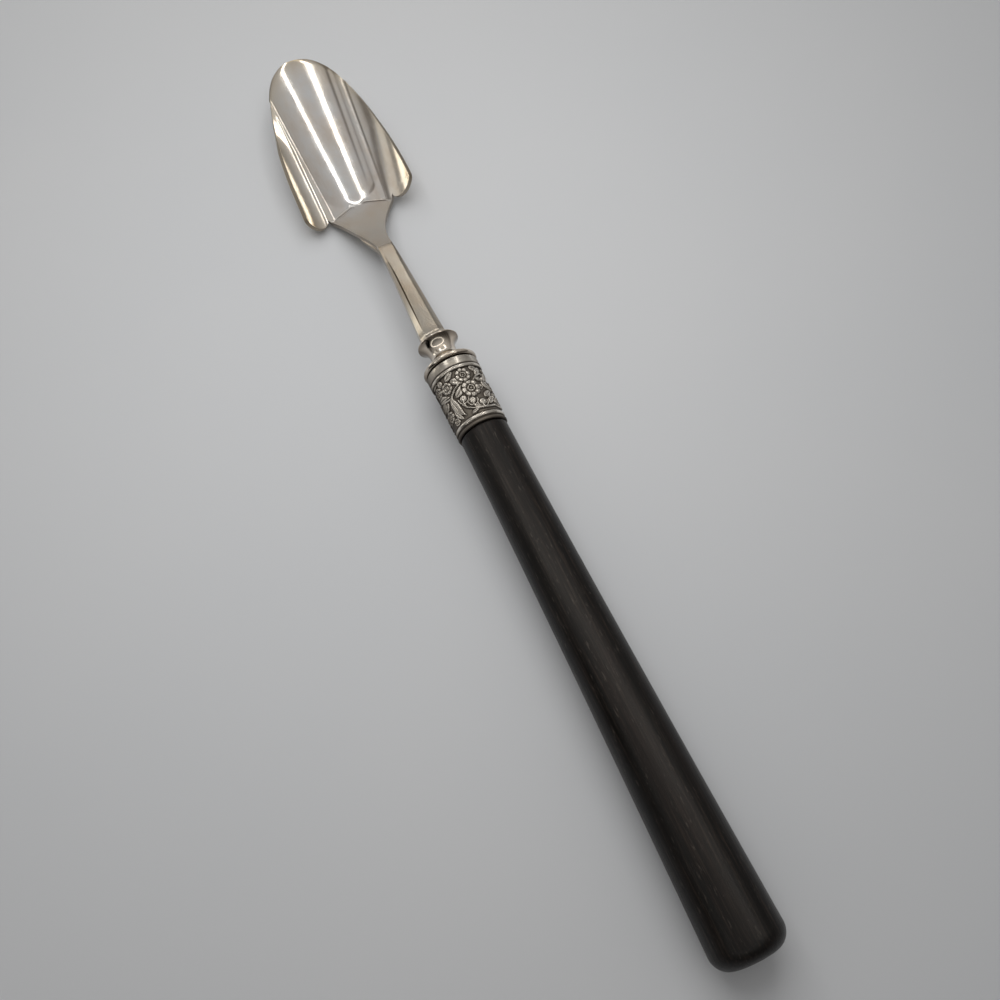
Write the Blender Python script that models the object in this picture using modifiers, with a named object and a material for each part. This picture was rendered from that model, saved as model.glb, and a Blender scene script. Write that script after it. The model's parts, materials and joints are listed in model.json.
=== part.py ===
"""Cheese scoop: a fluted plated bowl on a faceted stem, with a collar, a ferrule and an ebony handle.

Metres, +Z up. The scoop lies at rest as on a table, its length along X and the bowl's tip towards +X.
Every piece is modelled along the handle's axis and hangs from one empty, which holds the resting tilt.
"""

import math

import bmesh
import bpy
import numpy as np

MM = 0.001

# Fits
CLEARANCE = 0.3 * MM

# Handle
HANDLE_LENGTH = 120.0 * MM
BUTT_RADIUS = 8.0 * MM
NECK_RADIUS = 5.7 * MM
BUTT_FILLET = 3.8 * MM
HANDLE_FLARE = 1.4
HANDLE_BORE_RADIUS = 3.4 * MM
BORE_END_MARGIN = 6.0 * MM

# Ferrule sleeve
SLEEVE_LENGTH = 17.6 * MM
SLEEVE_RADIUS = 6.05 * MM
SLEEVE_WALL = 0.6 * MM
LIP_WIDTH = 0.9 * MM
LOWER_BEAD_WIDTH = 1.0 * MM
BEAD_HEIGHT = 0.3 * MM
BAND_WIDTH = 2.2 * MM
BAND_HEIGHT = 0.3 * MM

# Ferrule cap
CAP_RADIUS = 6.65 * MM
CAP_THICKNESS = 2.0 * MM
CAP_STEP_HEIGHT = 0.6 * MM
CAP_SKIRT_LENGTH = 1.8 * MM

# Bolster collar
COLLAR_HEIGHT = 5.9 * MM
COLLAR_FOOT_RADIUS = 4.1 * MM
COLLAR_WAIST_RADIUS = 3.3 * MM
COLLAR_RIM_RADIUS = 5.05 * MM
COLLAR_RIM_EDGE = 0.35 * MM
WAIST_SHARE = 0.36

# Stem and tang
STEM_LENGTH = 31.1 * MM
STEM_FOOT_RADIUS = 3.7 * MM
STEM_FOOT_HEIGHT = 0.8 * MM
STEM_FOOT_FLARE = 2.4 * MM
STEM_BASE_WIDTH = 5.4 * MM
STEM_BASE_DEPTH = 4.8 * MM
STEM_TIP_WIDTH = 3.8 * MM
STEM_TIP_DEPTH = 3.2 * MM
STEM_CHAMFER = 1.15 * MM
STEM_CRANK = 2.2 * MM
TANG_LENGTH = 58.0 * MM
TANG_RADIUS = 1.9 * MM
TANG_END_RADIUS = 1.1 * MM
DROP_SETBACK = 8.2 * MM
DROP_END_THICKNESS = 0.6 * MM
DROP_ROUNDING = 0.8
DROP_SQUARENESS = 6

# Bowl
BOWL_LENGTH = 68.3 * MM
BOWL_HALF_WIDTH = 14.45 * MM
SHEET = 1.0 * MM
HEEL_LENGTH = 19.7 * MM
HEEL_JOINT_HALF_WIDTH = STEM_TIP_WIDTH / 2
HEEL_FALL = 9.1 * MM
NOTCH_HALF_WIDTH = 9.1 * MM
HEEL_FLARE = 1.7
EAR_LENGTH = 2.2 * MM
EAR_ROUNDNESS = 0.5
RIM_TAPER = 2.1
TIP_BLUNTNESS = 2.1
WIDEST_PAST_NOTCH = 3.0 * MM
TIP_DROP = 2.0 * MM
FLOOR_DROP = 11.7 * MM
TROUGH_START = 4.8 * MM
TROUGH_END_STEEPNESS = 1.5
TROUGH_HEEL_RADIUS = 5.8 * MM
TROUGH_TIP_RADIUS = 7.2 * MM
TROUGH_HEEL_WALL = 0.75
TROUGH_TIP_WALL = 0.6
RIDGE_HALF_WIDTH = 6.7 * MM
RIDGE_SPREAD = 0.085
FOLD_SPREAD = 0.043
SHELF_RISE = 0.06
WING_SLOPE = 0.48
WING_CURL = 0.09 / MM
CREST_BLEND = 0.35 * MM
FOLD_BLEND = 0.4 * MM
HEEL_BLEND = 0.5 * MM

# Mesh fineness
TURN_STEPS = 40
MERGE_DISTANCE = 0.01 * MM
HANDLE_RINGS = 12
FILLET_RINGS = 7
BEAD_RINGS = 5
CAP_RINGS = 7
FLANK_RINGS = 8
FOOT_RINGS = 4
SECTION_POINTS = 16
HEEL_ROWS = 9
BODY_ROWS = 30
ROW_CROWDING = 0.9
ROW_BOW = 3
TIP_ROW_SHARE = 0.985
EAR_ROWS = 3
STEM_RINGS = 6
DROP_RINGS = 9
PANEL_COLUMNS = 22
WING_COLUMNS = 6

# Search for the resting tilt
STEEPEST_REST = 0.2
TILT_HALVINGS = 60

# Stations along the handle's axis, measured from the butt
sleeve_start = HANDLE_LENGTH
sleeve_end = sleeve_start + SLEEVE_LENGTH
sleeve_bore = SLEEVE_RADIUS - SLEEVE_WALL
cap_start = sleeve_end + CLEARANCE
cap_end = cap_start + CAP_THICKNESS
collar_start = cap_end + CLEARANCE
collar_end = collar_start + COLLAR_HEIGHT
stem_start = collar_end + CLEARANCE
tang_hole = TANG_RADIUS + CLEARANCE
tang_end = stem_start - TANG_LENGTH
joint = stem_start + STEM_LENGTH
notch = joint + HEEL_LENGTH
tip = joint + BOWL_LENGTH
widest = notch + WIDEST_PAST_NOTCH
spigot_end = sleeve_end - CAP_SKIRT_LENGTH - CLEARANCE
bore_end = tang_end - BORE_END_MARGIN

# The heel's top is flush with the stem's top at the joint, and falls from there to the notch
joint_top = STEM_TIP_DEPTH / 2 - STEM_CRANK
heel_slope = HEEL_FALL / HEEL_LENGTH
floor_slope = (FLOOR_DROP - TIP_DROP) / (tip - notch)


def clear_scene():
    for old in list(bpy.data.objects):
        bpy.data.objects.remove(old, do_unlink=True)


def make_material(name, colour, metallic, roughness):
    material = bpy.data.materials.new(name)
    material.use_nodes = True
    shader = material.node_tree.nodes["Principled BSDF"]
    shader.inputs["Base Color"].default_value = (*colour, 1.0)
    shader.inputs["Metallic"].default_value = metallic
    shader.inputs["Roughness"].default_value = roughness
    return material


def add_part(name, mesh, material):
    """One named sub-part, hung from the resting empty."""
    part = bpy.data.objects.new(name, mesh)
    mesh.materials.append(material)
    parts.objects.link(part)
    part.parent = rest
    return part


def turned(name, profile, material):
    """A turned piece from (station, radius) points that run down the outside towards the butt.

    A solid piece starts and ends on the axis. A pierced one is a loop that ends before its first point.
    """
    mesh = bpy.data.meshes.new(name)
    points = [(radius, 0.0, station) for station, radius in profile]
    edges = [(i, i + 1) for i in range(len(points) - 1)]
    if profile[0][1] > 0.0:
        edges.append((len(points) - 1, 0))
    mesh.from_pydata(points, edges, [])
    part = add_part(name, mesh, material)
    # Local +Z becomes the handle's axis, and the seam of the turning lies underneath
    part.rotation_euler = (0.0, math.pi / 2, 0.0)
    screw = part.modifiers.new("turn", "SCREW")
    screw.steps = TURN_STEPS
    screw.render_steps = TURN_STEPS
    screw.use_merge_vertices = True
    screw.merge_threshold = MERGE_DISTANCE
    screw.use_smooth_shade = True
    return part


def arc(centre, radius, start, end, steps):
    """Points of a circular arc, with angles in degrees from the +station direction towards +radius."""
    angles = np.radians(np.linspace(start, end, steps))
    return [(centre[0] + radius * math.cos(a), centre[1] + radius * math.sin(a)) for a in angles]


def bead(start, width, foot, height, steps=BEAD_RINGS):
    """A half-round bead on a turned surface, listed from its bowl end to its butt end."""
    shares = np.linspace(0.0, math.pi, steps)
    return [(start + width * (1 + math.cos(a)) / 2, foot + height * math.sin(a)) for a in shares]


def handle_radius(station):
    return NECK_RADIUS + (BUTT_RADIUS - NECK_RADIUS) * (1 - station / HANDLE_LENGTH) ** HANDLE_FLARE


def make_handle():
    spigot = sleeve_bore - CLEARANCE
    shoulder = sleeve_start - CLEARANCE
    fillet_radius = handle_radius(BUTT_FILLET) - BUTT_FILLET
    profile = [(bore_end, 0.0), (bore_end + HANDLE_BORE_RADIUS, HANDLE_BORE_RADIUS)]
    profile += [(spigot_end, HANDLE_BORE_RADIUS), (spigot_end, spigot), (shoulder, spigot)]
    stations = np.linspace(shoulder, BUTT_FILLET, HANDLE_RINGS)
    profile += [(s, handle_radius(s)) for s in stations]
    profile += arc((BUTT_FILLET, fillet_radius), BUTT_FILLET, 90, 180, FILLET_RINGS)[1:]
    profile += [(0.0, 0.0)]
    return turned("handle", profile, ebony)


def make_ferrule_sleeve():
    band_start = sleeve_end - BAND_WIDTH
    lower_bead = sleeve_start + LIP_WIDTH + BEAD_HEIGHT
    field_start = lower_bead + LOWER_BEAD_WIDTH
    line_bead = band_start - LOWER_BEAD_WIDTH
    foot = SLEEVE_RADIUS - BEAD_HEIGHT
    profile = [(sleeve_end, sleeve_bore)]
    profile += [(sleeve_end, SLEEVE_RADIUS), (sleeve_end - BEAD_HEIGHT, SLEEVE_RADIUS + BAND_HEIGHT)]
    profile += [(band_start + BEAD_HEIGHT, SLEEVE_RADIUS + BAND_HEIGHT), (band_start, SLEEVE_RADIUS)]
    profile += bead(line_bead, LOWER_BEAD_WIDTH, SLEEVE_RADIUS, BEAD_HEIGHT)[1:]
    profile += [(field_start, SLEEVE_RADIUS)]
    profile += bead(lower_bead, LOWER_BEAD_WIDTH, foot, BEAD_HEIGHT)[1:]
    profile += bead(sleeve_start, LIP_WIDTH, foot, BEAD_HEIGHT)
    profile += [(sleeve_start, sleeve_bore)]
    return turned("ferrule_sleeve", profile, embossed_plate)


def make_ferrule_cap():
    skirt = sleeve_bore - CLEARANCE
    skirt_end = cap_start - CAP_SKIRT_LENGTH
    edge_width = CAP_THICKNESS - CAP_STEP_HEIGHT
    step_radius = COLLAR_FOOT_RADIUS + CAP_STEP_HEIGHT
    neck = CAP_RADIUS - edge_width / 2
    profile = [(cap_end, tang_hole), (cap_end, step_radius - CAP_STEP_HEIGHT / 2)]
    profile += [(cap_end - CAP_STEP_HEIGHT, step_radius)]
    profile += bead(cap_start, edge_width, neck, edge_width / 2, CAP_RINGS)
    profile += [(cap_start, skirt), (skirt_end, skirt), (skirt_end, tang_hole)]
    return turned("ferrule_cap", profile, plate)


def make_bolster_collar():
    waist = collar_start + COLLAR_HEIGHT * WAIST_SHARE
    profile = [(collar_end, tang_hole), (collar_end, COLLAR_RIM_RADIUS - COLLAR_RIM_EDGE)]
    profile += [(collar_end - COLLAR_RIM_EDGE, COLLAR_RIM_RADIUS)]
    flank = collar_end - 2 * COLLAR_RIM_EDGE
    # The flank sweeps in from the rim to the waist, and out again to a smaller foot
    for share in np.linspace(0.0, 1.0, FLANK_RINGS):
        sweep = 1 - math.sin(share * math.pi / 2)
        profile.append((flank + (waist - flank) * share,
                        COLLAR_WAIST_RADIUS + (COLLAR_RIM_RADIUS - COLLAR_WAIST_RADIUS) * sweep))
    for share in np.linspace(0.0, 1.0, FOOT_RINGS + 1)[1:]:
        sweep = 1 - math.cos(share * math.pi / 2)
        profile.append((waist + (collar_start - waist) * share,
                        COLLAR_WAIST_RADIUS + (COLLAR_FOOT_RADIUS - COLLAR_WAIST_RADIUS) * sweep))
    profile += [(collar_start, tang_hole)]
    return turned("bolster_collar", profile, plate)


def make_tang_cement():
    outer = HANDLE_BORE_RADIUS - CLEARANCE
    floor = tang_end - CLEARANCE
    bottom = bore_end + HANDLE_BORE_RADIUS
    profile = [(floor, 0.0), (floor, tang_hole), (spigot_end, tang_hole), (spigot_end, outer)]
    profile += [(bottom, outer), (bore_end + CLEARANCE * math.sqrt(2), 0.0)]
    return turned("tang_cement", profile, pitch)


def smooth_min(a, b, blend):
    """The lower of two heights, with the edge between them rounded over."""
    return np.minimum(a, b) - np.maximum(blend - np.abs(a - b), 0.0) ** 2 / (4 * blend)


def smooth_max(a, b, blend):
    return -smooth_min(-a, -b, blend)


def heel_plane(x):
    return joint_top - heel_slope * (x - joint)


def heel_half_width(x):
    share = np.clip((x - joint) / HEEL_LENGTH, 0.0, 1.0)
    return HEEL_JOINT_HALF_WIDTH + (NOTCH_HALF_WIDTH - HEEL_JOINT_HALF_WIDTH) * share ** HEEL_FLARE


def rim_half_width(x):
    """Half the bowl's width in plan, from the ears round to the tip."""
    share = np.clip((x - widest) / (tip - widest), 0.0, 1.0)
    return BOWL_HALF_WIDTH * (1 - share ** RIM_TAPER) ** (1 / TIP_BLUNTNESS)


def bowl_height(x, y, with_heel):
    """Height of the bowl's upper face over the axis: a trough, then a shelf and a curled wing on each side."""
    y = np.abs(y)
    along = np.clip((x - notch) / (tip - notch), 0.0, 1.0)
    floor = -FLOOR_DROP + floor_slope * (x - notch)
    wall = TROUGH_HEEL_WALL + (TROUGH_TIP_WALL - TROUGH_HEEL_WALL) * along
    bottom = TROUGH_HEEL_RADIUS + (TROUGH_TIP_RADIUS - TROUGH_HEEL_RADIUS) * along
    ridge = RIDGE_HALF_WIDTH + RIDGE_SPREAD * (x - notch)
    fold = NOTCH_HALF_WIDTH + FOLD_SPREAD * (x - notch)

    def trough(across):
        return floor + wall * (np.hypot(across, bottom) - bottom)

    # The trough's heel end is rounded in plan, and steeper than the heel
    end = TROUGH_END_STEEPNESS * np.maximum(notch + TROUGH_START - x, 0.0)
    crest = trough(ridge)
    shelf = crest + SHELF_RISE * (y - ridge)
    if with_heel:
        shelf = smooth_max(shelf, heel_plane(x), HEEL_BLEND)
    inner = smooth_min(trough(np.hypot(y, end)), shelf, CREST_BLEND)
    past = np.maximum(y - fold, 0.0)
    wing = crest + SHELF_RISE * (fold - ridge) + WING_SLOPE * (y - fold) + WING_CURL * past ** 2
    return smooth_max(inner, wing, FOLD_BLEND)


def tip_sag(across):
    """How far the rim falls back from the tip at a distance across from the middle."""
    reach = (1 - (np.abs(across) / BOWL_HALF_WIDTH) ** TIP_BLUNTNESS) ** (1 / RIM_TAPER)
    return (tip - widest) * (1 - reach)


def bowl_rows():
    """(edge station, bow) of each row past the notch: the rows bow out until the last is the tip's arc."""
    shares = np.linspace(0.0, 1.0, BODY_ROWS + 1)
    last = widest + (tip - widest) * TIP_ROW_SHARE
    stations = notch + (last - notch) * np.sin(shares * math.pi / 2) ** ROW_CROWDING
    return list(zip(stations, shares ** ROW_BOW))


def make_scoop_bowl():
    built = bmesh.new()
    rows = bowl_rows()
    last_half = rim_half_width(rows[-1][0])
    seam = NOTCH_HALF_WIDTH / BOWL_HALF_WIDTH
    across = np.linspace(-1.0, 1.0, PANEL_COLUMNS + 1)
    outward = np.linspace(0.0, 1.0, WING_COLUMNS + 1)

    def add_row(xs, ys, with_heel):
        return [built.verts.new(point) for point in zip(xs, ys, bowl_height(xs, ys, with_heel))]

    def rim_row(station, bow, shares):
        sag = tip_sag(last_half) - tip_sag(shares * last_half)
        return station + bow * sag, shares * rim_half_width(station)

    def skin(rings):
        for near, far in zip(rings, rings[1:]):
            for i in range(len(near) - 1):
                corners = [near[i], near[i + 1], far[i + 1], far[i]]
                built.faces.new(list(dict.fromkeys(corners)))

    heel = []
    for station in np.linspace(joint + CLEARANCE, notch, HEEL_ROWS + 1)[:-1]:
        heel.append(add_row(np.full(across.shape, station), across * heel_half_width(station), True))
    panel = [add_row(*rim_row(station, bow, across * seam), True) for station, bow in rows]
    skin(heel + panel)
    for side in (-1, 1):
        wing = []
        for panel_row, (station, bow) in zip(panel, rows):
            xs, ys = rim_row(station, bow, seam + (1 - seam) * outward)
            wing.append([panel_row[0 if side < 0 else -1]] + add_row(xs[1:], side * ys[1:], False))
        # The ear sweeps back past the notch in a rounded lobe, hinged at the notch and at the rim
        inside, outside = wing[0][0], wing[0][-1]
        ear = NOTCH_HALF_WIDTH + (BOWL_HALF_WIDTH - NOTCH_HALF_WIDTH) * outward[1:-1]
        lobe = EAR_LENGTH * np.sin(math.pi * outward[1:-1]) ** EAR_ROUNDNESS
        for share in np.arange(1, EAR_ROWS + 1) / EAR_ROWS:
            row = add_row(notch - share * lobe, side * ear, False)
            wing.insert(0, [inside] + row + [outside])
        skin(wing)
    bmesh.ops.recalc_face_normals(built, faces=built.faces)
    if sum(face.normal.z for face in built.faces) < 0:
        bmesh.ops.reverse_faces(built, faces=built.faces)
    mesh = bpy.data.meshes.new("scoop_bowl")
    built.to_mesh(mesh)
    built.free()
    mesh.shade_smooth()
    part = add_part("scoop_bowl", mesh, plate)
    shell = part.modifiers.new("sheet", "SOLIDIFY")
    shell.thickness = SHEET
    shell.offset = -1.0
    shell.use_even_offset = True
    return part


def chamfered_section(half_width, half_depth, chamfer):
    """Sixteen points round a chamfered rectangle, as (across, up), from the middle of the +Y side on."""
    quarter = [(half_width, 0.0), (half_width, half_depth - chamfer)]
    quarter += [(half_width - chamfer / 2, half_depth - chamfer / 2), (half_width - chamfer, half_depth)]
    turned_back = [(-across, up) for across, up in reversed(quarter[1:])]
    upper = quarter + [(0.0, half_depth)] + turned_back
    lower = [(-across, -up) for across, up in upper]
    return upper + lower


def round_section(radius):
    angles = np.arange(SECTION_POINTS) * 2 * math.pi / SECTION_POINTS
    return [(radius * math.cos(a), radius * math.sin(a)) for a in angles]


def upright_ring(station, centre, section):
    return [(station, across, centre + up) for across, up in section]


def heel_ring(station, below, section):
    """A section square to the heel, its middle the given distance under the heel's upper face."""
    length = math.hypot(1.0, heel_slope)
    points = []
    for across, up in section:
        rise = (up - below) / length
        points.append((station + heel_slope * rise, across, heel_plane(station) + rise))
    return points


def stem_rings():
    """Rings of points from the tang's end to the end of the drop under the heel."""
    flank_start = stem_start + STEM_FOOT_HEIGHT + STEM_FOOT_FLARE
    rings = [upright_ring(tang_end, 0.0, round_section(TANG_END_RADIUS))]
    rings += [upright_ring(stem_start, 0.0, round_section(TANG_RADIUS))]
    rings += [upright_ring(stem_start, 0.0, round_section(STEM_FOOT_RADIUS))]
    rings += [upright_ring(stem_start + STEM_FOOT_HEIGHT, 0.0, round_section(STEM_FOOT_RADIUS))]
    for share in np.linspace(0.0, 1.0, STEM_RINGS):
        station = flank_start + (joint - flank_start) * share
        half_width = (STEM_BASE_WIDTH + (STEM_TIP_WIDTH - STEM_BASE_WIDTH) * share) / 2
        half_depth = (STEM_BASE_DEPTH + (STEM_TIP_DEPTH - STEM_BASE_DEPTH) * share) / 2
        section = chamfered_section(half_width, half_depth, STEM_CHAMFER * 2 * half_depth / STEM_BASE_DEPTH)
        if share < 1.0:
            rings.append(upright_ring(station, -STEM_CRANK * share, section))
        else:
            rings.append(heel_ring(station, half_depth, section))
    # Past the joint the metal spreads under the heel, one sheet and a clearance below its upper face
    drop_length = HEEL_LENGTH - DROP_SETBACK
    rebate = SHEET + CLEARANCE
    first_thickness = STEM_TIP_DEPTH - rebate
    for share in np.sin(np.linspace(0.0, math.pi / 2, DROP_RINGS)):
        station = joint + drop_length * share
        thickness = first_thickness + (DROP_END_THICKNESS - first_thickness) * share
        half_width = heel_half_width(station) * math.sqrt(1 - DROP_ROUNDING * share ** DROP_SQUARENESS)
        section = chamfered_section(half_width, thickness / 2, thickness / 4)
        rings.append(heel_ring(station, rebate + thickness / 2, section))
    return rings


def make_stem():
    built = bmesh.new()
    loops = [[built.verts.new(point) for point in ring] for ring in stem_rings()]
    for near, far in zip(loops, loops[1:]):
        for i in range(len(near)):
            following = (i + 1) % len(near)
            built.faces.new((near[i], near[following], far[following], far[i]))
    built.faces.new(list(reversed(loops[0])))
    built.faces.new(loops[-1])
    bmesh.ops.recalc_face_normals(built, faces=built.faces)
    mesh = bpy.data.meshes.new("stem")
    built.to_mesh(mesh)
    built.free()
    return add_part("stem", mesh, plate)


def rest_on_table():
    """Tilts and lifts the empty until butt and bowl both touch the table, centred over the origin."""
    bpy.context.view_layer.update()
    graph = bpy.context.evaluated_depsgraph_get()
    clouds = {}
    for part in parts.objects:
        evaluated = part.evaluated_get(graph)
        mesh = evaluated.to_mesh()
        points = np.empty(len(mesh.vertices) * 3)
        mesh.vertices.foreach_get("co", points)
        world = np.array(evaluated.matrix_world)
        clouds[part.name] = points.reshape(-1, 3) @ world[:3, :3].T + world[:3, 3]
        evaluated.to_mesh_clear()

    def heights(cloud, tilt):
        return cloud[:, 0] * math.sin(tilt) + cloud[:, 2] * math.cos(tilt)

    low, high = -STEEPEST_REST, STEEPEST_REST
    for _ in range(TILT_HALVINGS):
        tilt = (low + high) / 2
        bowl_low = heights(clouds["scoop_bowl"], tilt).min()
        handle_low = heights(clouds["handle"], tilt).min()
        low, high = (tilt, high) if bowl_low < handle_low else (low, tilt)
    everything = np.concatenate(list(clouds.values()))
    along = everything[:, 0] * math.cos(tilt) - everything[:, 2] * math.sin(tilt)
    rest.rotation_euler = (0.0, -tilt, 0.0)
    rest.location = (-(along.min() + along.max()) / 2, 0.0, -heights(everything, tilt).min())
    bpy.context.view_layer.update()


clear_scene()
parts = bpy.data.collections.new("cheese_scoop")
bpy.context.scene.collection.children.link(parts)
rest = bpy.data.objects.new("resting_frame", None)
bpy.context.scene.collection.objects.link(rest)

ebony = make_material("ebony", (0.028, 0.022, 0.019), 0.0, 0.42)
plate = make_material("silver_plate", (0.66, 0.62, 0.56), 1.0, 0.2)
embossed_plate = make_material("oxidised_silver_plate", (0.42, 0.39, 0.34), 1.0, 0.35)
pitch = make_material("cutlers_pitch", (0.05, 0.03, 0.02), 0.0, 0.6)

make_handle()
make_tang_cement()
make_ferrule_sleeve()
make_ferrule_cap()
make_bolster_collar()
make_stem()
make_scoop_bowl()
rest_on_table()
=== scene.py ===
"""Looks of the cheese scoop: fine shapes, finishes, floor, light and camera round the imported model.

Lengths are metres. The pieces are made in the scoop's own frame, with x along the handle's axis from
the butt, y to the left and z up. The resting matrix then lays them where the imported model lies.
"""

import json
import math

import bmesh
import bpy
import numpy as np
from mathutils import Matrix, Vector


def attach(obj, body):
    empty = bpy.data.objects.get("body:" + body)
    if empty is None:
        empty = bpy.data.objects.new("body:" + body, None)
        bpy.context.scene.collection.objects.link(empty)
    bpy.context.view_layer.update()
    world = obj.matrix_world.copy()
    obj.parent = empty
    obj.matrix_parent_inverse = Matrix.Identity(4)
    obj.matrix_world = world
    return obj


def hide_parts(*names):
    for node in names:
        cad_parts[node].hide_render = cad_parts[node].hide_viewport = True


MM = 0.001
CLEARANCE = 0.3 * MM

# Handle
HANDLE_LENGTH = 120.0 * MM
BUTT_RADIUS = 8.0 * MM
NECK_RADIUS = 5.7 * MM
BUTT_FILLET = 3.8 * MM
HANDLE_FLARE = 1.4
SHOULDER_ROUNDING = 0.25 * MM
SPIGOT_SETBACK = 3.0 * MM

# Ferrule, with the bead that closes it
SLEEVE_LENGTH = 17.6 * MM
SLEEVE_RADIUS = 6.05 * MM
SLEEVE_WALL = 0.6 * MM
LIP_WIDTH = 0.9 * MM
BEAD_WIDTH = 1.0 * MM
BEAD_HEIGHT = 0.3 * MM
BAND_WIDTH = 2.2 * MM
BAND_EDGE = 0.3 * MM
CAP_RADIUS = 6.65 * MM
CAP_THICKNESS = 2.0 * MM
CAP_STEP_HEIGHT = 0.6 * MM
CAP_SKIRT_LENGTH = 1.8 * MM
TANG_HOLE_RADIUS = 2.2 * MM

# Relief on the ferrule
GROUND_DEPTH = 0.2 * MM
RELIEF_HEIGHT = 0.45 * MM
FACING_ANGLE = math.radians(10.7)
TWIG_HALF_WIDTH = 0.24 * MM
VEIN_PITCH = 0.55 * MM
VEIN_SLANT = 0.6 * MM
PETAL_TURN = 0.7
FLOWER_MARGIN = 1.05

# Collar
COLLAR_HEIGHT = 5.9 * MM
COLLAR_FOOT_RADIUS = 4.1 * MM
COLLAR_WAIST_RADIUS = 3.3 * MM
COLLAR_RIM_RADIUS = 5.05 * MM
COLLAR_RIM_EDGE = 0.35 * MM
COLLAR_RIM_WIDTH = 0.56 * MM
COLLAR_SEAT = 0.2 * MM
WAIST_SHARE = 0.36
COLLAR_FLARE = 2.6

# Stem
STEM_LENGTH = 31.1 * MM
STEM_FOOT_RADIUS = 3.7 * MM
STEM_FOOT_FLARE = 2.4 * MM
STEM_FOOT_SPREAD = 2.2
STEM_FOOT_SINK = 0.05 * MM
STEM_FOOT_LUMPS = 0.05
LUMPS_ROUND = 2.3
LUMPS_ALONG = 9.0
STEM_BASE_WIDTH = 5.4 * MM
STEM_BASE_DEPTH = 4.8 * MM
STEM_TIP_WIDTH = 3.8 * MM
STEM_TIP_DEPTH = 3.2 * MM
STEM_LEFT_SPREAD = 0.28
STEM_CHAMFER = 1.15 * MM
LEFT_CHAMFER_SHARE = 0.85
RIGHT_CHAMFER_SHARE = 1.25
CHAMFER_KNEE = (0.6, 0.42)
CHAMFER_RUNOUT = 0.7
CHAMFER_RUNOUT_POWER = 6
ARRIS_WIDTH = 0.1 * MM
ARRIS_ANGLE = 25.0
GROOVE_DEPTH = 0.3 * MM
GROOVE_WIDTH = 0.4 * MM
GROOVE_LEAST_WIDTH = 0.01 * MM
GROOVE_EDGE_DROP = 0.04
GROOVE_END = 0.85
GROOVE_POINT = 3
FACET_CROWN = 0.07 * MM
STEM_CRANK = 2.2 * MM
HEEL_SEAT = 0.2 * MM
REBATE_GAP = 0.02 * MM
DROP_SETBACK = 8.2 * MM
DROP_END_THICKNESS = 0.6 * MM
DROP_ROUNDING = 0.8
DROP_SQUARENESS = 6

# Bowl: sheet, heel and outline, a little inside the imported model's
BOWL_LENGTH = 68.0 * MM
BOWL_HALF_WIDTH = 14.3 * MM
SHEET = 1.0 * MM
HEEL_LENGTH = 19.7 * MM
HEEL_FALL = 8.8 * MM
HEEL_FLARE = 1.7
HEEL_BOW = 0.9 * MM
HEEL_BOW_REACH = 9.0 * MM
BOWL_BOW_REACH = 6.5 * MM
NOTCH_HALF_WIDTH = 9.1 * MM
EAR_LENGTH = 2.2 * MM
EAR_ROUNDNESS = 0.5
RIM_TAPER = 2.1
TIP_BLUNTNESS = 2.1
WIDEST_PAST_NOTCH = 3.0 * MM
RIM_TURN = 0.16 * MM
RIM_TURN_WIDTH = 1.4 * MM
RIM_TURN_START = 0.75
RIM_BEVEL = 0.22 * MM
RIM_BEVEL_ANGLE = 60.0

# Bowl: trough
TIP_DROP = 2.0 * MM
FLOOR_DROP = 11.7 * MM
TROUGH_START = 6.4 * MM
TROUGH_END_STEEPNESS = 0.9
TROUGH_HEEL_RADIUS = 5.8 * MM
TROUGH_TIP_RADIUS = 7.2 * MM
TROUGH_HEEL_WALL = 0.75
TROUGH_TIP_WALL = 0.6
HEEL_BLEND = 0.12 * MM
CORNER_BLEND = 0.05 * MM
LEFT_CORNER_TILT = 0.37
RIGHT_CORNER_TILT = 0.365
LEFT_CORNER_FALL = 2.0 * MM
RIGHT_CORNER_FALL = 1.5 * MM
CORNER_FADE = 1.0
RIGHT_RIB_HEIGHT = 0.045 * MM
RIGHT_RIB_WIDTH = 0.6 * MM
RIGHT_RIB_INSET = 1.7 * MM
RIGHT_RIB_START = 5.0 * MM
RIGHT_RIB_RUNOUT = 4.0 * MM

# Bowl: shelves and wings
LEFT_RIDGE = 7.5 * MM
LEFT_RIDGE_SPREAD = 0.062
RIGHT_RIDGE = 6.15 * MM
RIGHT_RIDGE_SPREAD = 0.085
LEFT_CREST_BLEND = 0.05 * MM
RIGHT_CREST_BLEND = 0.5 * MM
LEFT_SHELF_RISE = 0.05
LEFT_SHELF_STEEPENING = 0.0045 / MM
RIGHT_SHELF_RISE = 0.38
LEFT_FOLD = 9.95 * MM
LEFT_FOLD_SPREAD = 0.012
RIGHT_FOLD = 7.6 * MM
RIGHT_FOLD_SPREAD = 0.085
LEFT_FOLD_BLEND = 0.8 * MM
RIGHT_FOLD_BLEND = 0.4 * MM
FADED_FOLD_BLEND = 0.03 * MM
LEFT_WING_SLOPE = 0.44
LEFT_WING_STATIONS = (21.0 * MM, 26.0 * MM, 29.5 * MM, 32.0 * MM)
LEFT_WING_KEPT = (1.0, 0.5, 0.45, 0.0)
LEFT_WING_CURL = 0.0175 / MM ** 2
RIGHT_WING_SLOPE = 0.72
RIGHT_WING_LEAST_SLOPE = 0.52
RIGHT_WING_EASING = 0.0105 / MM
RIGHT_WING_CURL = 0.0050 / MM ** 2
INNER_WING_SLOPE = 1.2

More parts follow.
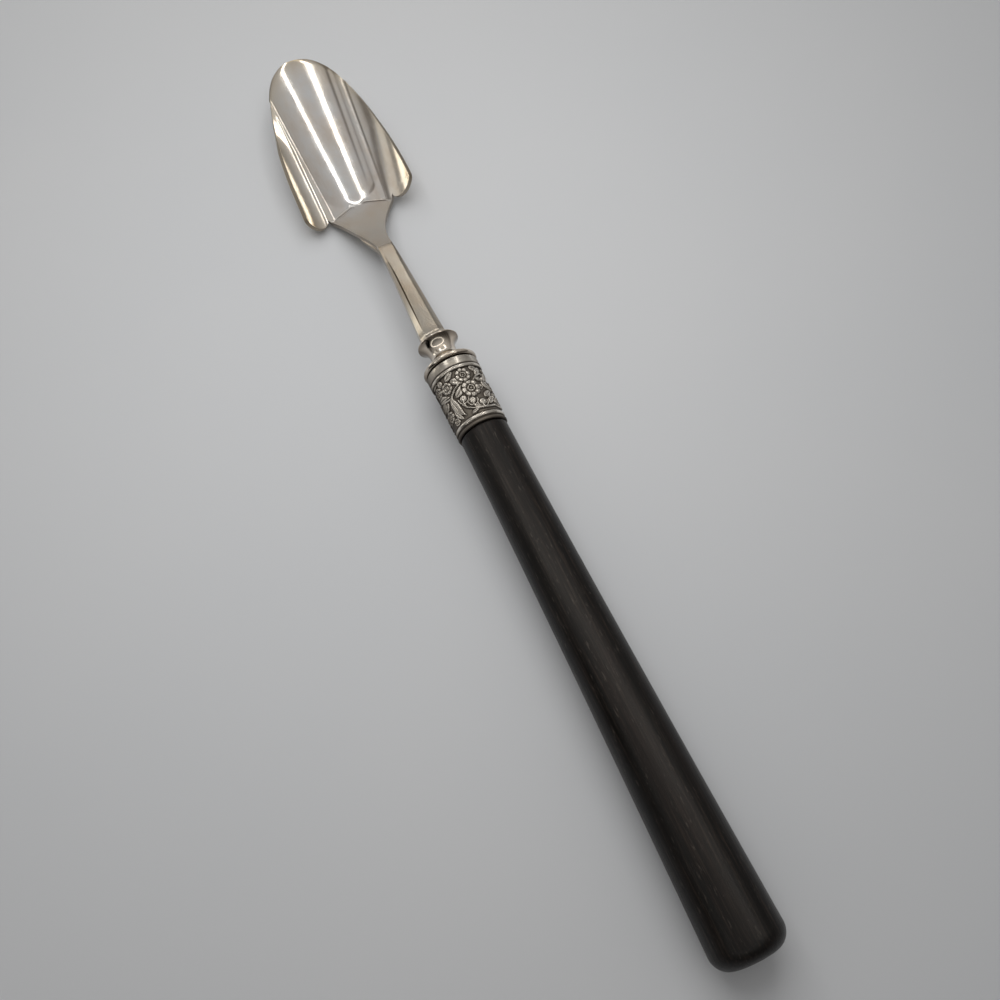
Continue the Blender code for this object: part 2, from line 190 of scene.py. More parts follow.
# Tarnish, painted shade, stains and polish
UNDERSIDE_SHADE = 0.88
UNDERSIDE_START = 0.72
UNDERSIDE_FADE = 0.65
COLLAR_SHADE = 0.75
COLLAR_SHADE_WIDTH = 0.9 * MM
CAP_DIRT_AND_SHADE = 0.95
CAP_DIRT_AND_SHADE_WIDTH = 0.5 * MM
JOINT_TARNISH = 0.45
JOINT_TARNISH_REACH = 8.0 * MM
GROOVE_SHADE = 0.9
RIM_SHADE = 0.6
RIM_SHADE_JOINT_GAP = 1.0 * MM
RIM_STAIN = 0.7
RIM_STAIN_WIDTH = 3.0 * MM
HEEL_STAIN = 0.35
HEEL_STAIN_FADE = 1.5 * MM
LEFT_CORNER_SHADE = 0.75
RIGHT_CORNER_SHADE = 0.9
CORNER_SHADE_DEPTH = 0.22 * MM
CORNER_SHADE_FROM = 0.8 * MM
CORNER_SHADE_TO = 7.8 * MM
CORNER_SHADE_FADE = 0.8 * MM
GROUND_POLISH = 0.23
RELIEF_POLISH = 0.63
HOLLOW_POLISH = 2.2
HOLLOW_REACH = 10
BAND_POLISH = 0.62
LIP_POLISH = 0.22
BEAD_DIRT = 0.85
BEAD_DIRT_WIDTH = 0.16 * MM

# Fineness
MERGE_DISTANCE = 0.0005 * MM
CREASE_ANGLE = 40.0
SOFT_CREASE_ANGLE = 60.0
TURN_STEPS = 128
EDGE_STEPS = 6
SHOULDER_STEPS = 5
FILLET_STEPS = 20
BEAD_STEPS = 13
CAP_BEAD_STEPS = 17
HANDLE_ROWS = 60
COLLAR_ROWS = 40
SLEEVE_STEPS = 520
FIELD_ROWS = 168
STEM_FOOT_ROWS = 8
STEM_FLANK_ROWS = 40
STEM_GROOVE_ROWS = 34
STEM_DROP_ROWS = 20
HEEL_ROWS = 80
BODY_ROWS = 200
ROW_CROWDING = 1.25
ROW_BOW = 3
TIP_ROW_SHARE = 0.985
TIP_ROW_SETBACK = 0.8 * MM
EAR_ROWS = 8
PANEL_COLUMNS = 180
WING_COLUMNS = 30

# Camera, fitted to the rings of the ferrule and the outline of the bowl
CAMERA_AT = (-0.10030, 0.03840, 0.21183)
CAMERA_PITCH = math.radians(66.484)
CAMERA_HEADING = math.radians(-23.248)
CAMERA_ROLL = math.radians(-2.050)
CAMERA_CLIP = 0.01
LENS = 36.0
SENSOR = 36.0

# Lamps: a ring whose side towards the handle is dim, a ring round the camera, a lamp overhead and a strip
RING_STEPS = 96
LAMP_OVER_BOWL = (0.387, -0.045, 0.300)
LAMP_RADIUS = 0.152
LAMP_WIDTH = 0.030
LAMP_STRENGTH = 5.3
LAMP_COLOUR = (1.0, 0.985, 0.955)
LAMP_DIM_STRENGTH = 0.9
LAMP_DIM_COLOUR = (1.0, 0.93, 0.78)
LAMP_DIM_MIDDLE = math.radians(166.0)
LAMP_DIM_HALF_ANGLE = math.radians(46.0)
CAMERA_RING_RADIUS = 0.225
CAMERA_RING_SQUASH = 0.62
CAMERA_RING_TURN = math.radians(28.0)
CAMERA_RING_WIDTH = 0.028
CAMERA_RING_STRENGTH = 2.5
CAMERA_RING_COLOUR = (1.0, 0.99, 0.96)
OVERHEAD_AT = (0.169, 0.0, 0.185)
OVERHEAD_SIZE = 0.2
OVERHEAD_POWER = 0.165
STRIP_ENDS = ((0.142, 0.243, 0.300), (-0.126, -0.210, 0.300))
STRIP_WIDTH = 0.06
STRIP_POWER = 0.33
STRIP_COLOUR = (1.0, 0.89, 0.79)

# Cards that show in the wings, seen from the bowl: degrees left of the scoop's axis and over the table, half
# width and half height in degrees, distance, strength and colour
CARDS_FACE = (0.215, 0.0, 0.0)
CARDS = {
    "dim_card": (56.0, 41.0, 14.0, 5.0, 0.50, 0.16, (1.0, 0.93, 0.88)),
    "low_card": (57.0, 5.0, 9.0, 6.0, 0.60, 1.8, (1.0, 0.97, 0.90)),
    "side_card": (56.0, 26.0, 14.0, 6.0, 0.55, 0.62, (1.0, 0.97, 0.92)),
}

# Flag, floor and sky
FLAG_AT_Y = 0.12
FLAG_REACH = (-0.22, -0.02)
FLAG_HEIGHT = 0.08
FLOOR_RADIUS = 1.6
FLOOR_STEPS = 96
FLOOR_DARK = (0.69, 0.705, 0.725)
FLOOR_PALE = (0.715, 0.725, 0.74)
SKY_FACING = (0.50, -0.10, 0.86)
SKY_BRIGHT = (0.44, 0.435, 0.43)
SKY_BRIGHT_AT = 0.9
SKY_DARK = (0.09, 0.085, 0.08)

# Stations along the handle's axis, from the butt
sleeve_start = HANDLE_LENGTH
sleeve_end = sleeve_start + SLEEVE_LENGTH
cap_start = sleeve_end + CLEARANCE
cap_end = cap_start + CAP_THICKNESS
collar_start = cap_end + CLEARANCE
collar_end = collar_start + COLLAR_HEIGHT
stem_start = collar_end + CLEARANCE
joint = stem_start + STEM_LENGTH
notch = joint + HEEL_LENGTH
tip = joint + BOWL_LENGTH
widest = notch + WIDEST_PAST_NOTCH
joint_top = STEM_TIP_DEPTH / 2 - STEM_CRANK
heel_slope = HEEL_FALL / HEEL_LENGTH
floor_slope = (FLOOR_DROP - TIP_DROP) / (tip - notch)


def resting_matrix(record):
    """The scoop's own frame as it lies on the table, from the record's butt face."""
    butt = record["mounts"][0]
    along = -Vector(butt["axis"])
    left = Vector((0.0, 1.0, 0.0))
    over = along.cross(left)
    turn = Matrix((along, left, over)).transposed()
    return Matrix.Translation(butt["pos_m"]) @ turn.to_4x4()


def between(start, end, share):
    return start + (end - start) * share


def clamp(value):
    return np.clip(value, 0.0, 1.0)


def add_object(name, data):
    made = bpy.data.objects.new(name, data)
    bpy.context.scene.collection.objects.link(made)
    return made


def add_piece(name, mesh, material, node):
    """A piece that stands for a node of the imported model."""
    mesh.transform(rest)
    mesh.materials.append(material)
    piece = add_object(name, mesh)
    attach(piece, "root")
    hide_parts(node)
    return piece


def add_bevel(piece, name, width, segments, angle):
    """Rounded edges where faces meet at more than an angle in degrees."""
    bevel = piece.modifiers.new(name, "BEVEL")
    bevel.width = width
    bevel.segments = segments
    bevel.limit_method = "ANGLE"
    bevel.angle_limit = math.radians(angle)
    return bevel


def mesh_of(name, built):
    """A smooth-shaded mesh of what was built."""
    mesh = bpy.data.meshes.new(name)
    built.to_mesh(mesh)
    built.free()
    mesh.shade_smooth()
    return mesh


def mesh_from(name, points, faces, crease, grime_and_shade):
    """A smooth-shaded mesh, its repeated points merged and edges sharper than the crease angle crisp."""
    built = bmesh.new()
    layer = built.verts.layers.float.new("grime_and_shade")
    verts = [built.verts.new(point) for point in points]
    for vert, value in zip(verts, grime_and_shade):
        vert[layer] = value
    for face in faces:
        corners = list(dict.fromkeys(verts[i] for i in face))
        if len(corners) > 2:
            built.faces.new(corners)
    bmesh.ops.remove_doubles(built, verts=built.verts, dist=MERGE_DISTANCE)
    bmesh.ops.recalc_face_normals(built, faces=built.faces)
    mesh = mesh_of(name, built)
    mesh.set_sharp_from_angle(angle=math.radians(crease))
    return mesh


def underside_shade(angles):
    """Painted shade round a turned piece, by the angle from its top: darker where it faces down and sideways.
    """
    return UNDERSIDE_SHADE * clamp((UNDERSIDE_START - np.cos(angles)) / UNDERSIDE_FADE)


def ring_faces(rings, count, closed=False):
    """Quads between neighbouring rings of points, and from the last ring to the first if they are closed."""
    faces = []
    for row in range(rings if closed else rings - 1):
        here = row * count
        there = (row + 1) % rings * count
        for i in range(count):
            j = (i + 1) % count
            faces.append((here + i, here + j, there + j, there + i))
    return faces


def turned_mesh(name, profile, crease=CREASE_ANGLE, grime_and_shade=None):
    """A turned mesh from (station, radius) points and the dirt and painted shade at each, with painted shade
    on its underside. A pierced piece is a closed loop.
    """
    angles = np.arange(TURN_STEPS) * 2 * math.pi / TURN_STEPS
    points = [(s, r * math.sin(a), r * math.cos(a)) for s, r in profile for a in angles]
    pierced = profile[0][1] > 0.0
    faces = ring_faces(len(profile), TURN_STEPS, pierced)
    sides = underside_shade(angles)
    dirt_and_shade = [max(value, side) for value in grime_and_shade or [0.0] * len(profile) for side in sides]
    return mesh_from(name, points, faces, crease, dirt_and_shade)


def arc(centre, radius, start, end, steps):
    """Points of a circular arc, with angles in degrees from the station's direction towards the radius."""
    angles = np.radians(np.linspace(start, end, steps))
    return [(centre[0] + radius * math.cos(a), centre[1] + radius * math.sin(a)) for a in angles]


def bead(start, width, foot, height, steps=BEAD_STEPS):
    """A half-round bead, listed from its bowl end to its butt end."""
    shares = np.linspace(0.0, math.pi, steps)
    return [(start + width * (1 + math.cos(a)) / 2, foot + height * math.sin(a)) for a in shares]


def handle_radius(station):
    return between(NECK_RADIUS, BUTT_RADIUS, (1 - station / HANDLE_LENGTH) ** HANDLE_FLARE)


def make_handle():
    shoulder = sleeve_start - CLEARANCE
    spigot = SLEEVE_RADIUS - SLEEVE_WALL - CLEARANCE
    spigot_end = sleeve_end - SPIGOT_SETBACK
    rounding = SHOULDER_ROUNDING
    fillet_radius = handle_radius(BUTT_FILLET) - BUTT_FILLET
    profile = [(spigot_end, 0.0), (spigot_end, spigot), (shoulder, spigot)]
    profile += arc((shoulder - rounding, NECK_RADIUS - rounding), rounding, 0, 90, SHOULDER_STEPS)
    stations = np.linspace(shoulder - 2 * rounding, BUTT_FILLET, HANDLE_ROWS)
    profile += [(s, handle_radius(s)) for s in stations]
    profile += arc((BUTT_FILLET, fillet_radius), BUTT_FILLET, 90, 180, FILLET_STEPS)[1:]
    profile += [(0.0, 0.0)]
    return add_piece("handle_turned", turned_mesh("handle_turned", profile), ebony, "handle")


def make_cap():
    edge_width = CAP_THICKNESS - CAP_STEP_HEIGHT
    step_radius = COLLAR_FOOT_RADIUS + CAP_STEP_HEIGHT
    rounding = CAP_STEP_HEIGHT / 2
    neck = CAP_RADIUS - edge_width / 2
    skirt = SLEEVE_RADIUS - SLEEVE_WALL - CLEARANCE
    skirt_end = cap_start - CAP_SKIRT_LENGTH
    profile = [(cap_end, TANG_HOLE_RADIUS), (cap_end, step_radius - rounding)]
    profile += arc((cap_end - rounding, step_radius - rounding), rounding, 0, 90, EDGE_STEPS)[1:]
    profile += [(cap_end - CAP_STEP_HEIGHT, step_radius)]
    profile += bead(cap_start, edge_width, neck, edge_width / 2, CAP_BEAD_STEPS)
    profile += [(cap_start, skirt), (skirt_end, skirt), (skirt_end, TANG_HOLE_RADIUS)]
    # Dirt and painted shade lie in the groove between the bead and the sleeve
    grime_and_shade = [CAP_DIRT_AND_SHADE * clamp(1 - (s - cap_start) / CAP_DIRT_AND_SHADE_WIDTH) for s, _ in profile]
    mesh = turned_mesh("ferrule_bead", profile, grime_and_shade=grime_and_shade)
    add_piece("ferrule_bead", mesh, warm_silver, "ferrule_cap")


def make_collar():
    waist = collar_start + COLLAR_HEIGHT * WAIST_SHARE
    flank = collar_end - COLLAR_RIM_WIDTH
    seat = collar_start - COLLAR_SEAT
    edge = COLLAR_RIM_EDGE
    profile = [(collar_end, TANG_HOLE_RADIUS), (collar_end, COLLAR_RIM_RADIUS - edge)]
    profile += arc((collar_end - edge, COLLAR_RIM_RADIUS - edge), edge, 0, 90, EDGE_STEPS)[1:]
    for share in np.linspace(0.0, 1.0, COLLAR_ROWS):
        sweep = (1 - share) ** COLLAR_FLARE
        radius = between(COLLAR_WAIST_RADIUS, COLLAR_RIM_RADIUS, sweep)
        profile.append((between(flank, waist, share), radius))
    for share in np.linspace(0.0, 1.0, COLLAR_ROWS // 2)[1:]:
        sweep = 1 - math.cos(share * math.pi / 2)
        radius = between(COLLAR_WAIST_RADIUS, COLLAR_FOOT_RADIUS, sweep)
        profile.append((between(waist, collar_start, share), radius))
    profile += [(seat, COLLAR_FOOT_RADIUS), (seat, TANG_HOLE_RADIUS)]
    # The flare is darkened under its rim with painted shade
    grime_and_shade = [COLLAR_SHADE * math.exp(-((s - flank) / COLLAR_SHADE_WIDTH) ** 2)
             if s < collar_end - edge else 0.0 for s, _ in profile]
    mesh = turned_mesh("waisted_collar", profile, SOFT_CREASE_ANGLE, grime_and_shade)
    add_piece("waisted_collar", mesh, warm_silver, "bolster_collar")


# Shapes of the relief. Their bare numbers are exponents, and shares of a shape's own size and height.
def flower(u, v, radius, petals, turn):
    """Height of a flower: rounded petals with a groove between them, and a ringed eye."""
    across = np.hypot(u, v)
    angle = np.arctan2(v, u) + turn
    lobe = np.abs(np.cos(petals * angle / 2))
    gap = lobe ** 0.45
    reach = radius * (0.80 + 0.20 * gap)
    share = clamp(across / reach)
    petal = np.sqrt(1 - share ** 10) * (0.12 + 0.78 * gap) * (0.6 + 0.4 * share ** 2)
    crinkle = 0.06 * np.cos(3 * petals * angle) * share ** 2
    body = np.where(share < 1.0, petal + crinkle, 0.0)
    eye = across / (0.40 * radius)
    ring = 0.85 * np.exp(-((eye - 0.78) / 0.17) ** 2)
    dot = 0.9 * np.exp(-(eye / 0.3) ** 2)
    moat = np.exp(-((eye - 1.2) / 0.2) ** 2)
    return np.where(eye < 1.05, np.maximum(np.maximum(ring, dot), 0.15), body * (1 - 0.75 * moat))


def leaf(u, v, start, end, width, bend):
    """Height of a leaf: a pointed blade with a midrib and slanting veins, bowed sideways by bend."""
    length = math.hypot(end[0] - start[0], end[1] - start[1])
    along = ((u - start[0]) * (end[0] - start[0]) + (v - start[1]) * (end[1] - start[1])) / length ** 2
    across = ((v - start[1]) * (end[0] - start[0]) - (u - start[0]) * (end[1] - start[1])) / length
    share = clamp(along)
    across = across - bend * 4 * share * (1 - share)
    half = width * np.sin(math.pi * share ** 0.8) ** 0.85 + 1e-9
    inside = (along > 0.0) & (along < 1.0) & (np.abs(across) < half)
    blade = np.sqrt(clamp(1 - (across / half) ** 4)) * (0.62 + 0.25 * np.abs(across) / width)
    rib = 0.3 * np.exp(-(across / (0.12 * width)) ** 2)
    veins = 0.07 * np.cos(2 * math.pi * (share * length / VEIN_PITCH - np.abs(across) / VEIN_SLANT))
    return np.where(inside, blade - rib + veins * clamp(np.abs(across) / width), 0.0)


def twig(u, v, points, width):
    """Height of a rounded stem along a chain of points, thinner towards its end."""
    height = np.zeros_like(u)
    runs = len(points) - 1
    for i in range(runs):
        (u0, v0), (u1, v1) = points[i], points[i + 1]
        length = (u1 - u0) ** 2 + (v1 - v0) ** 2
        share = clamp(((u - u0) * (u1 - u0) + (v - v0) * (v1 - v0)) / length)
        distance = np.hypot(u - u0 - share * (u1 - u0), v - v0 - share * (v1 - v0))
        half = width * (1 - 0.35 * (i + share) / runs)
        height = np.maximum(height, 0.75 * np.sqrt(clamp(1 - (distance / half) ** 2)))
    return height


def berry(u, v, radius):
    """Height of a berry: a dome with a dimple, in a raised cup."""
    across = np.hypot(u, v) / radius
    dome = np.sqrt(clamp(1 - across ** 2))
    cup = np.where(v < 0.4 * radius, 0.6 * np.exp(-((across - 1.42) / 0.16) ** 2), 0.0)
    return np.maximum(0.95 * dome - 0.3 * np.exp(-(across / 0.22) ** 2), cup)


# A sprig of common garden ornament that runs twice round the ferrule. Places are in millimetres, round it
# from the side that faces the camera and up from the lower bead. A flower has a place, a radius and a count
# of petals, a leaf a start, an end, a half width and a bend, a twig a chain of points, and a berry a place
# and a radius.
FLOWERS = [
    (2.2, 6.5, 2.25, 8), (1.8, 10.3, 1.85, 8), (-3.1, 9.2, 1.5, 7), (-6.1, 9.9, 1.4, 7),
    (-5.9, 3.2, 1.4, 7), (-4.6, 1.0, 0.95, 6), (8.3, 3.0, 1.9, 8), (-9.2, 6.6, 1.8, 8),
]
LEAVES = [
    (-1.6, 10.3, 1.0, 8.3, 0.9, 0.1), (-2.0, 5.8, 0.7, 8.2, 0.85, -0.2), (-7.3, 8.0, -3.5, 7.1, 0.85, 0.2),
    (-3.3, 6.6, -1.8, 1.0, 1.0, -0.5), (-2.6, 10.8, -0.2, 12.1, 0.8, 0.1),
    (-4.4, 10.5, -4.3, 12.3, 0.75, 0.0),
    (4.0, 11.9, 6.3, 10.6, 0.75, 0.1), (5.0, 9.4, 7.0, 11.9, 0.7, 0.2), (5.4, 7.6, 7.6, 5.1, 0.85, 0.15),
    (4.4, 3.7, 6.7, 5.3, 0.85, -0.2), (4.9, 1.8, 6.9, 3.7, 0.7, 0.1), (-4.6, 6.3, -6.9, 4.2, 0.6, 0.1),
    (-5.4, 6.8, -7.8, 5.2, 0.55, 0.1), (7.2, 8.2, 9.0, 10.6, 0.9, 0.15), (8.2, 11.8, 10.2, 9.4, 0.8, 0.1),
    (-8.6, 4.4, -7.0, 1.6, 0.9, 0.2), (-3.9, 3.6, -2.6, 0.4, 0.6, -0.2), (-0.3, 0.4, 1.6, 0.9, 0.45, 0.1),
    (0.9, 2.2, 2.4, 1.2, 0.4, 0.0), (4.2, 8.9, 5.6, 7.8, 0.5, 0.1), (-7.9, 11.9, -5.2, 12.0, 0.5, 0.1),
]
TWIGS = [
    [(-0.2, 8.45), (-1.56, 7.8), (-2.8, 6.75), (-3.5, 5.25), (-3.05, 3.15), (-1.75, 1.1)],
    [(6.0, 1.2), (3.5, 0.9), (1.56, 1.1), (0.4, 1.66), (-0.78, 2.5), (-1.36, 3.5)],
    [(-0.8, 2.6), (-0.95, 3.8), (-0.6, 4.5)], [(1.4, 1.2), (1.0, 2.3), (1.2, 3.2)],
    [(3.4, 0.95), (3.0, 1.5), (3.2, 2.2)], [(-3.3, 6.5), (-5.5, 6.9), (-8.0, 6.6)],
    [(3.4, 8.2), (4.7, 9.4), (6.4, 10.0), (7.4, 9.2)], [(6.0, 1.2), (7.2, 0.9), (9.5, 0.8)],
]
BERRIES = [
    (-0.6, 4.75, 0.85), (1.2, 3.5, 0.85), (3.3, 2.4, 0.9), (6.4, 8.4, 0.7),
    (4.4, 6.6, 0.55), (-1.2, 12.0, 0.4),
]


def relief_height(u, v):
    """Height of the sprig over its ground, from 0 to about 1, on a grid of places in metres."""
    turn_length = math.pi * SLEEVE_RADIUS
    height = np.zeros_like(u)

    def near(place):
        return (u - place + turn_length / 2) % turn_length - turn_length / 2

    for points in TWIGS:
        start = points[0][0] * MM
        chain = [(a * MM - start, b * MM) for a, b in points]
        height = np.maximum(height, twig(near(start), v, chain, TWIG_HALF_WIDTH))
    for u0, v0, u1, v1, width, bend in LEAVES:
        here = near(u0 * MM)
        shape = leaf(here, v, (0.0, v0 * MM), ((u1 - u0) * MM, v1 * MM), width * MM, bend * MM)
        height = np.maximum(height, shape)
    for place, up, radius in BERRIES:
        height = np.maximum(height, berry(near(place * MM), v - up * MM, radius * MM))
    for i, (place, up, radius, petals) in enumerate(FLOWERS):
        across = near(place * MM)
        above = v - up * MM
        shape = flower(across, above, radius * MM, petals, PETAL_TURN * i)
        height = np.where(np.hypot(across, above) < radius * MM * FLOWER_MARGIN, shape, height)
    return height


def soften(grid, passes):
    """A grid blurred round the ferrule and along it."""
    for _ in range(passes):
        grid = (np.roll(grid, 1, axis=1) + 2 * grid + np.roll(grid, -1, axis=1)) / 4
        padded = np.pad(grid, ((1, 1), (0, 0)), mode="edge")
        grid = (padded[:-2] + 2 * grid + padded[2:]) / 4
    return grid


def make_sleeve():
    band_start = sleeve_end - BAND_WIDTH
    lower_bead = sleeve_start + LIP_WIDTH + BEAD_HEIGHT
    field_start = lower_bead + BEAD_WIDTH
    line_bead = band_start - BEAD_WIDTH
    bore = SLEEVE_RADIUS - SLEEVE_WALL
    foot = SLEEVE_RADIUS - BEAD_HEIGHT
    ground = SLEEVE_RADIUS - GROUND_DEPTH
    profile = [(sleeve_end, bore), (sleeve_end, SLEEVE_RADIUS)]
    profile += arc((sleeve_end - BAND_EDGE, SLEEVE_RADIUS), BAND_EDGE, 0, 90, EDGE_STEPS)[1:]
    profile += arc((band_start + BAND_EDGE, SLEEVE_RADIUS), BAND_EDGE, 90, 180, EDGE_STEPS)
    profile += bead(line_bead, BEAD_WIDTH, SLEEVE_RADIUS, BEAD_HEIGHT)[1:]
    first = len(profile)
    profile += [(s, ground) for s in np.linspace(line_bead, field_start, FIELD_ROWS)]
    profile += bead(lower_bead, BEAD_WIDTH, foot, BEAD_HEIGHT)
    profile += bead(sleeve_start, LIP_WIDTH, foot, BEAD_HEIGHT)
    profile += [(sleeve_start, bore)]
    angles = np.arange(SLEEVE_STEPS) * 2 * math.pi / SLEEVE_STEPS
    u = SLEEVE_RADIUS * ((FACING_ANGLE - angles + math.pi) % (2 * math.pi) - math.pi)
    v = np.array([s for s, _ in profile[first:first + FIELD_ROWS]]) - field_start
    grid_u, grid_v = np.meshgrid(u, v)
    height = soften(relief_height(grid_u, grid_v), 1)
    # The ground and the hollows are dark, and what stands up is rubbed bright
    hollow = height - soften(height, HOLLOW_REACH)
    rubbed = GROUND_POLISH + RELIEF_POLISH * height + HOLLOW_POLISH * hollow
    shine_and_shade = np.ones((len(profile), SLEEVE_STEPS))
    shine_and_shade[first:first + FIELD_ROWS] = clamp(rubbed)
    radii = np.repeat(np.array([[r] for _, r in profile]), SLEEVE_STEPS, axis=1)
    radii[first:first + FIELD_ROWS] += RELIEF_HEIGHT * height
    stations = np.array([s for s, _ in profile])
    shine_and_shade[stations > band_start] = BAND_POLISH
    # The grooves beside the beads and the band hold dirt
    for groove in (band_start, line_bead, field_start, lower_bead, lower_bead - BEAD_HEIGHT, sleeve_start):
        dark = np.exp(-((stations - groove) / BEAD_DIRT_WIDTH) ** 2)
        shine_and_shade *= 1 - BEAD_DIRT * dark[:, None]
    shine_and_shade[stations < lower_bead - BEAD_HEIGHT / 2] *= LIP_POLISH
    # The underside is darkened with painted shade
    shine_and_shade *= 1 - underside_shade(angles)
    xs = np.repeat(stations[:, None], SLEEVE_STEPS, axis=1)
    points = np.stack([xs, radii * np.sin(angles), radii * np.cos(angles)], axis=-1).reshape(-1, 3)
    quads = [(a, d, c, b) for a, b, c, d in ring_faces(len(profile), SLEEVE_STEPS, True)]
    mesh = bpy.data.meshes.new("embossed_sleeve")
    mesh.from_pydata(points.tolist(), [], quads)
    mesh.shade_smooth()
    mesh.set_sharp_from_angle(angle=math.radians(SOFT_CREASE_ANGLE))
    polish_and_shade = mesh.attributes.new("polish_and_shade", "FLOAT", "POINT")
    polish_and_shade.data.foreach_set("value", shine_and_shade.reshape(-1).astype(np.float32))
    add_piece("embossed_sleeve", mesh, embossed, "ferrule_sleeve")


def smooth_min(a, b, blend):
    """The lower of two heights, with the edge between them rounded over."""
    return np.minimum(a, b) - np.maximum(blend - np.abs(a - b), 0.0) ** 2 / (4 * blend)


def smooth_max(a, b, blend):
    return -smooth_min(-a, -b, blend)


def heel_plane(x):
    return joint_top - heel_slope * (x - joint)


def heel_half_width(x):
    share = clamp((x - joint) / HEEL_LENGTH)
    return between(STEM_TIP_WIDTH / 2, NOTCH_HALF_WIDTH, share ** HEEL_FLARE)


def rim_half_width(x):
    """Half the bowl's width in plan, from the ears round to the tip."""
    share = clamp((x - widest) / (tip - widest))
    return BOWL_HALF_WIDTH * (1 - share ** RIM_TAPER) ** (1 / TIP_BLUNTNESS)


def side_bow(x):
    """How far the heel is bent to the left."""
    past_middle = x - joint - HEEL_LENGTH / 2
    reach = np.where(past_middle > 0.0, BOWL_BOW_REACH, HEEL_BOW_REACH)
    return HEEL_BOW * np.exp(-(past_middle / reach) ** 2)


def tip_sag(across):
    """How far the rim falls back from the tip at a distance across from the middle."""
    reach = clamp(1 - (np.abs(across) / BOWL_HALF_WIDTH) ** TIP_BLUNTNESS) ** (1 / RIM_TAPER)
    return (tip - widest) * (1 - reach)


def bowl_height(x, y, with_heel):
    """Height of the bowl's upper face over the axis: a trough, and on each side a shelf and a curled wing."""
    past_notch = x - notch
    on_left = y > 0.0
    y = np.abs(y)

    def sided(left, right):
        return np.where(on_left, left, right)

    along = clamp(past_notch / (tip - notch))
    floor = -FLOOR_DROP + floor_slope * past_notch
    wall = between(TROUGH_HEEL_WALL, TROUGH_TIP_WALL, along)
    bottom = between(TROUGH_HEEL_RADIUS, TROUGH_TIP_RADIUS, along)
    ridge = sided(LEFT_RIDGE, RIGHT_RIDGE) + sided(LEFT_RIDGE_SPREAD, RIGHT_RIDGE_SPREAD) * past_notch
    fold = sided(LEFT_FOLD, RIGHT_FOLD) + sided(LEFT_FOLD_SPREAD, RIGHT_FOLD_SPREAD) * past_notch
    rise = sided(LEFT_SHELF_RISE + LEFT_SHELF_STEEPENING * past_notch.clip(0.0), RIGHT_SHELF_RISE)

    def trough(across):
        return floor + wall * (np.hypot(across, bottom) - bottom)

    # The left wing flattens into the shelf before the tip
    kept = np.interp(past_notch, LEFT_WING_STATIONS, LEFT_WING_KEPT)
    fold_blend = sided(LEFT_FOLD_BLEND * kept + FADED_FOLD_BLEND, RIGHT_FOLD_BLEND)
    shelf = smooth_max(y - ridge, np.zeros_like(y), sided(LEFT_CREST_BLEND, RIGHT_CREST_BLEND))
    crest = trough(ridge)
    end = TROUGH_END_STEEPNESS * np.maximum(TROUGH_START - past_notch, 0.0)
    # The trough's end is round, and cut off by a sloping facet in each corner beside the ridges
    tilt = sided(LEFT_CORNER_TILT, RIGHT_CORNER_TILT)
    fall = sided(LEFT_CORNER_FALL, RIGHT_CORNER_FALL)
    facet = crest - np.minimum(tilt * (shelf - y + ridge), fall)
    facet = facet + CORNER_FADE * (past_notch - TROUGH_START).clip(0.0)
    inner = smooth_min(trough(np.hypot(y - shelf, end)), facet, CORNER_BLEND) + rise * shelf
    # A faint rib runs along the trough's right wall
    rib = RIGHT_RIB_HEIGHT * np.exp(-((y - ridge + RIGHT_RIB_INSET) / RIGHT_RIB_WIDTH) ** 2)
    rib = rib * clamp((past_notch - RIGHT_RIB_START) / RIGHT_RIB_RUNOUT)
    inner = inner + sided(0.0, rib)
    if with_heel:
        inner = smooth_max(inner, heel_plane(x), HEEL_BLEND)
    past = np.maximum(y - fold, 0.0)
    curl = sided(LEFT_WING_CURL * kept ** 2, RIGHT_WING_CURL)
    left_slope = between(rise, LEFT_WING_SLOPE, kept)
    right_slope = RIGHT_WING_SLOPE - RIGHT_WING_EASING * past_notch.clip(0.0)
    right_slope = np.maximum(right_slope, RIGHT_WING_LEAST_SLOPE)
    slope = np.where(y > fold, sided(left_slope, right_slope), INNER_WING_SLOPE)
    wing = crest + rise * np.maximum(fold - ridge, 0.0) + slope * (y - fold) + curl * past ** 3
    # The rim turns up a little round the tip
    inset = tip - tip_sag(y) - x
    near_tip = clamp((along - RIM_TURN_START) / (1 - RIM_TURN_START))
    turn = RIM_TURN * clamp(1 - inset / RIM_TURN_WIDTH) ** 2 * near_tip
    return smooth_max(inner, wing, fold_blend) + turn


def stain_at(x, y):
    """How strongly the plate is stained: most along the rim and at the tip, some over the heel."""
    inset = min(rim_half_width(x) - abs(y), tip - tip_sag(y) - x)
    rim = math.exp(-max(inset, 0.0) / RIM_STAIN_WIDTH)
    heel = HEEL_STAIN / (1 + math.exp((x - notch) / HEEL_STAIN_FADE))
    return min(1.0, RIM_STAIN * rim + heel)


def corner_shade(x, y):
    """Painted shade along the crease where the corners of the trough's end meet the heel, dimming its
    highlight there.
    """
    gap = bowl_height(x, y, False) - heel_plane(x)
    inner_end = clamp((np.abs(y) - CORNER_SHADE_FROM) / CORNER_SHADE_FADE)
    outer_end = clamp((CORNER_SHADE_TO - np.abs(y)) / CORNER_SHADE_FADE)
    strength = np.where(y > 0.0, LEFT_CORNER_SHADE, RIGHT_CORNER_SHADE)
    return strength * np.exp(-(gap / CORNER_SHADE_DEPTH) ** 2) * inner_end * outer_end


